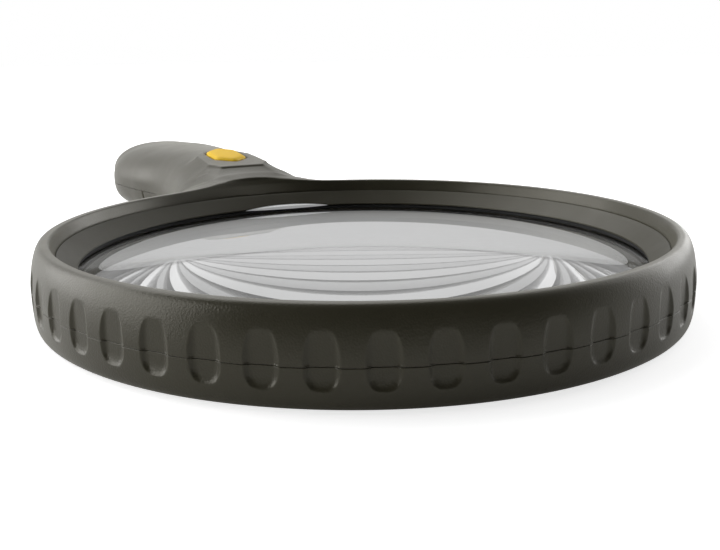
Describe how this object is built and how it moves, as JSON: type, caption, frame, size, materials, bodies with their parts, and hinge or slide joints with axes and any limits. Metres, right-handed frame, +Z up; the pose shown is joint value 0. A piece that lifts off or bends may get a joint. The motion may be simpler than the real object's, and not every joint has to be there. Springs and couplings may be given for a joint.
{
  "type": "magnifying glass",
  "caption": "Large round hand-held reading magnifier with a scalloped soft-touch rim, bulbous battery handle, yellow push button and a light window at the neck.",
  "frame": {"origin": "middle of the base, half way along the length, on the surface the rim and handle rest on", "axes": "+Y along the handle towards its butt, +Z up through the lens, +X to the right seen from the lens"},
  "size_m": [0.1619, 0.2904, 0.0279],
  "materials": {
    "soft_touch_shell": "satin soft-touch coating, fine leather-like grain, broad soft highlights",
    "bezel": "satin moulded plastic, smooth",
    "lens": "clear polished acrylic",
    "gasket": "matt black",
    "window": "white translucent light window, semi-gloss",
    "button": "warm yellow, semi-gloss",
    "screw_steel": "nickel-plated",
    "circuit_board": "green solder mask",
    "resistor": "glazed",
    "led": "clear to milky resin",
    "plunger": "natural nylon",
    "moulded_black": "fine matt",
    "spring_steel": "bright drawn wire",
    "contact_plate": "nickel-plated sheet",
    "cell_jacket": "printed foil jacket, plain dark blue",
    "red_wire": "PVC insulation",
    "black_wire": "PVC insulation"
  },
  "bodies": {
    "handset": {"upper_housing": "soft_touch_shell", "lower_housing": "soft_touch_shell", "bezel_ring": "bezel", "main_lens": "lens", "lens_gasket": "gasket", "housing_screw_1": "screw_steel", "housing_screw_2": "screw_steel", "housing_screw_3": "screw_steel", "housing_screw_4": "screw_steel", "housing_screw_5": "screw_steel", "housing_screw_6": "screw_steel", "housing_screw_7": "screw_steel", "light_window": "window", "led_board": "circuit_board", "light_resistor": "resistor", "led_1": "led", "led_2": "led", "led_3": "led", "switch_body": "moulded_black", "switch_spring": "spring_steel", "switch_board": "circuit_board", "battery_cell_1": "cell_jacket", "cell_spring_1": "spring_steel", "battery_cell_2": "cell_jacket", "cell_spring_2": "spring_steel", "battery_cell_3": "cell_jacket", "cell_spring_3": "spring_steel", "positive_contact": "contact_plate", "front_bridge": "contact_plate", "rear_bridge": "contact_plate", "negative_contact": "contact_plate", "front_contact_plate": "moulded_black", "rear_contact_plate": "moulded_black", "wire_battery_to_switch": "red_wire", "wire_switch_to_light": "red_wire", "wire_light_to_battery": "black_wire"},
    "button": {"push_button": "button", "switch_plunger": "plunger"},
    "door": {"battery_door": "soft_touch_shell"}
  },
  "joints": [
    {"name": "button_press", "type": "slide", "parent": "handset", "child": "button", "axis": [0, 0.1045, -0.9945], "range_m": [0, 0.0014], "stiffness_N_per_m": 600, "springref_m": -0.0018, "deforming": ["switch_spring"]},
    {"name": "battery_door_slide", "type": "slide", "parent": "handset", "child": "door", "axis": [0, 1, 0], "range_m": [0, 0.06]}
  ]
}
